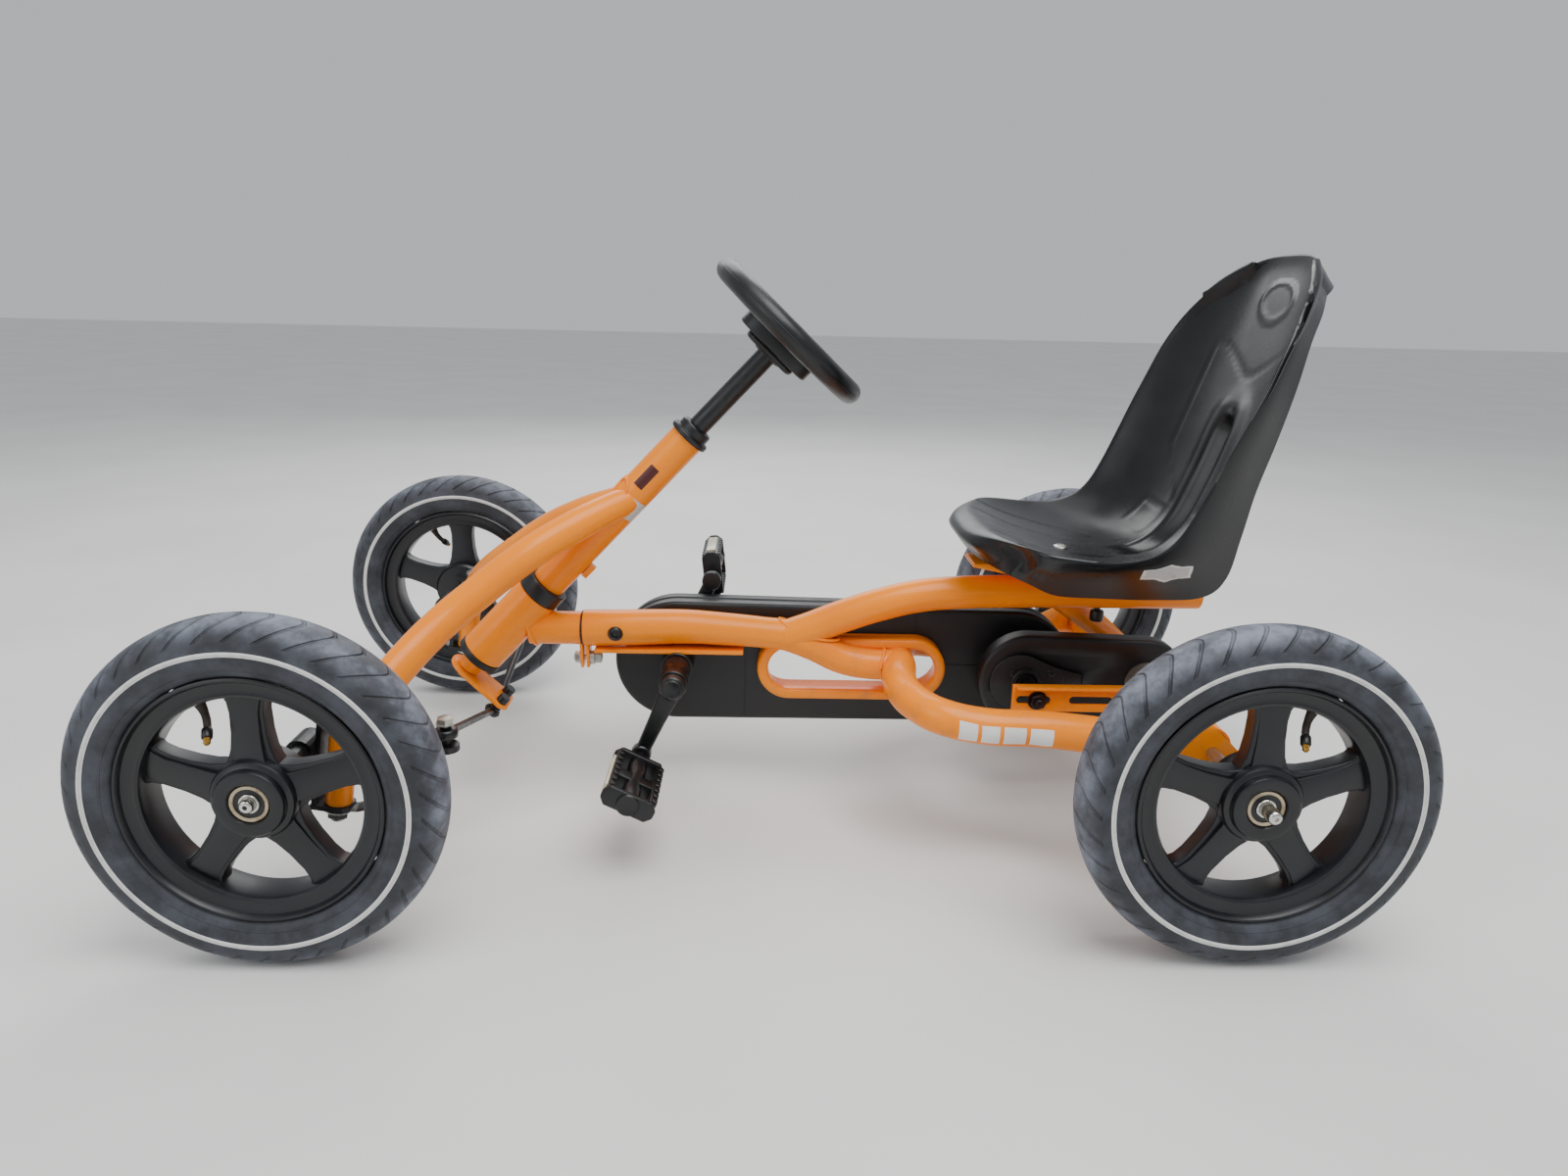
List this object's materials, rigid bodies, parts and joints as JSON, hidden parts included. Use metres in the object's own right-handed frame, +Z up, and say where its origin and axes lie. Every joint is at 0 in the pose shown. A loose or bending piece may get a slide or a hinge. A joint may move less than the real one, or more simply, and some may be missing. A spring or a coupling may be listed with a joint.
{
  "type": "pedal go kart",
  "caption": "Child's pedal go kart with tubular frame, swinging front axle, steering wheel, covered chain drive, moulded sliding bucket seat and pneumatic wheels",
  "frame": {"origin": "on the ground under the middle of the wheelbase and track", "axes": "+X forward, +Y to the driver's left, +Z up"},
  "size_m": [1.161, 0.6908, 0.6195],
  "materials": {
    "orange_paint": "glossy powder coat",
    "black_paint": "satin",
    "black_plastic": "moulded satin",
    "tyre_rubber": "matte",
    "zinc_steel": "zinc plated",
    "chain_steel": "oiled",
    "valve_rubber": "matte"
  },
  "bodies": {
    "frame": {"main_tube": "orange_paint", "seat_tube": "orange_paint", "rear_tube": "orange_paint", "axle_tube_left": "orange_paint", "axle_tube_right": "orange_paint", "rail_brace": "orange_paint", "mounting_bar": "orange_paint", "tension_bracket": "orange_paint", "pivot_socket": "orange_paint", "bush_upper": "black_plastic", "bush_lower": "black_plastic", "bottom_bracket": "black_paint", "guard_near": "black_plastic", "guard_far": "black_plastic", "slot_ring": "orange_paint", "rear_guard": "black_plastic", "chain_main": "chain_steel", "chain_second": "chain_steel", "clamp_bolt": "zinc_steel", "cross_bolt": "black_paint"},
    "front_axle": {"head_tube": "orange_paint", "head_cap": "black_plastic", "stop_tab": "orange_paint", "fork_tube_left": "orange_paint", "fork_tube_right": "orange_paint", "kingpin_tube_left": "orange_paint", "kingpin_tube_right": "orange_paint"},
    "steering": {"steering_column": "black_paint", "steering_wheel": "black_plastic", "wheel_cover": "black_plastic", "pitman_lever": "orange_paint"},
    "knuckle_left_body": {"knuckle_left": "black_paint", "kingpin_left": "zinc_steel"},
    "knuckle_right_body": {"knuckle_right": "black_paint", "kingpin_right": "zinc_steel"},
    "tie_rod_left_body": {"tie_rod_left": "black_paint"},
    "tie_rod_right_body": {"tie_rod_right": "black_paint"},
    "wheel_front_left_body": {"wheel_front_left": "black_plastic", "tyre_front_left": "tyre_rubber", "valve_front_left": "valve_rubber"},
    "wheel_front_right_body": {"wheel_front_right": "black_plastic", "tyre_front_right": "tyre_rubber", "valve_front_right": "valve_rubber"},
    "rear_axle_body": {"rear_axle": "zinc_steel", "wheel_rear_right": "black_plastic", "tyre_rear_right": "tyre_rubber", "valve_rear_right": "valve_rubber"},
    "wheel_rear_left_body": {"wheel_rear_left": "black_plastic", "tyre_rear_left": "tyre_rubber", "valve_rear_left": "valve_rubber"},
    "jack_shaft_body": {"jack_shaft": "black_paint"},
    "crank": {"crank_axle": "black_paint", "crank_left": "black_paint", "crank_right": "black_paint"},
    "pedal_left_body": {"pedal_left": "black_plastic"},
    "pedal_right_body": {"pedal_right": "black_plastic"},
    "seat": {"seat_shell": "black_plastic", "seat_bracket": "orange_paint", "seat_knob": "black_plastic"}
  },
  "joints": [
    {"name": "front_axle_swing", "type": "hinge", "parent": "frame", "child": "front_axle", "pos_m": [0.28718, 0, 0.20445], "axis": [0.6858, 0, -0.7278], "range_deg": [-8, 8]},
    {"name": "steering_turn", "type": "hinge", "parent": "front_axle", "child": "steering", "pos_m": [0.0883, 0, 0.4155], "axis": [0.6858, 0, -0.7278], "range_deg": [-20, 20]},
    {"name": "knuckle_left_turn", "type": "hinge", "parent": "front_axle", "child": "knuckle_left_body", "pos_m": [0.3915, 0.223, 0.1565], "axis": [-0.1564, 0, 0.9877], "range_deg": [-14, 14]},
    {"name": "tie_rod_left_turn", "type": "hinge", "parent": "knuckle_left_body", "child": "tie_rod_left_body", "pos_m": [0.3035, 0.2, 0.16], "axis": [-0.1564, 0, 0.9877], "range_deg": [-17, 17]},
    {"name": "wheel_front_left_spin", "type": "hinge", "parent": "knuckle_left_body", "child": "wheel_front_left_body", "pos_m": [0.424, 0.317, 0.1565], "axis": [0, 1, 0], "continuous": true},
    {"name": "knuckle_right_turn", "type": "hinge", "parent": "front_axle", "child": "knuckle_right_body", "pos_m": [0.3915, -0.223, 0.1565], "axis": [-0.1564, 0, 0.9877], "range_deg": [-14, 14]},
    {"name": "tie_rod_right_turn", "type": "hinge", "parent": "knuckle_right_body", "child": "tie_rod_right_body", "pos_m": [0.3035, -0.2, 0.16], "axis": [-0.1564, 0, 0.9877], "range_deg": [-17, 17]},
    {"name": "wheel_front_right_spin", "type": "hinge", "parent": "knuckle_right_body", "child": "wheel_front_right_body", "pos_m": [0.424, -0.317, 0.1565], "axis": [0, 1, 0], "continuous": true},
    {"name": "crank_spin", "type": "hinge", "parent": "frame", "child": "crank", "pos_m": [0.1, 0, 0.16], "axis": [0, 1, 0], "continuous": true},
    {"name": "jack_shaft_spin", "type": "hinge", "parent": "frame", "child": "jack_shaft_body", "pos_m": [-0.29, 0, 0.154], "axis": [0, 1, 0], "continuous": true},
    {"name": "rear_axle_spin", "type": "hinge", "parent": "frame", "child": "rear_axle_body", "pos_m": [-0.424, 0, 0.1565], "axis": [0, 1, 0], "continuous": true},
    {"name": "wheel_rear_left_spin", "type": "hinge", "parent": "rear_axle_body", "child": "wheel_rear_left_body", "pos_m": [-0.424, 0.305, 0.1565], "axis": [0, 1, 0], "continuous": true},
    {"name": "pedal_left_spin", "type": "hinge", "parent": "crank", "child": "pedal_left_body", "pos_m": [0.13446, 0, 0.08296], "axis": [0, 1, 0], "continuous": true},
    {"name": "pedal_right_spin", "type": "hinge", "parent": "crank", "child": "pedal_right_body", "pos_m": [0.06554, 0, 0.23704], "axis": [0, 1, 0], "continuous": true},
    {"name": "seat_slide", "type": "slide", "parent": "frame", "child": "seat", "axis": [0.9999, 0, -0.0121], "range_m": [-0.036, 0.01]}
  ],
  "couplings": [
    {"joint": "knuckle_left_turn", "follows": "steering_turn", "ratio": -0.636},
    {"joint": "knuckle_right_turn", "follows": "steering_turn", "ratio": -0.636},
    {"joint": "tie_rod_left_turn", "follows": "steering_turn", "ratio": 0.7775},
    {"joint": "tie_rod_right_turn", "follows": "steering_turn", "ratio": 0.7775},
    {"joint": "jack_shaft_spin", "follows": "crank_spin", "ratio": 1.125},
    {"joint": "rear_axle_spin", "follows": "crank_spin", "ratio": 1.125}
  ]
}
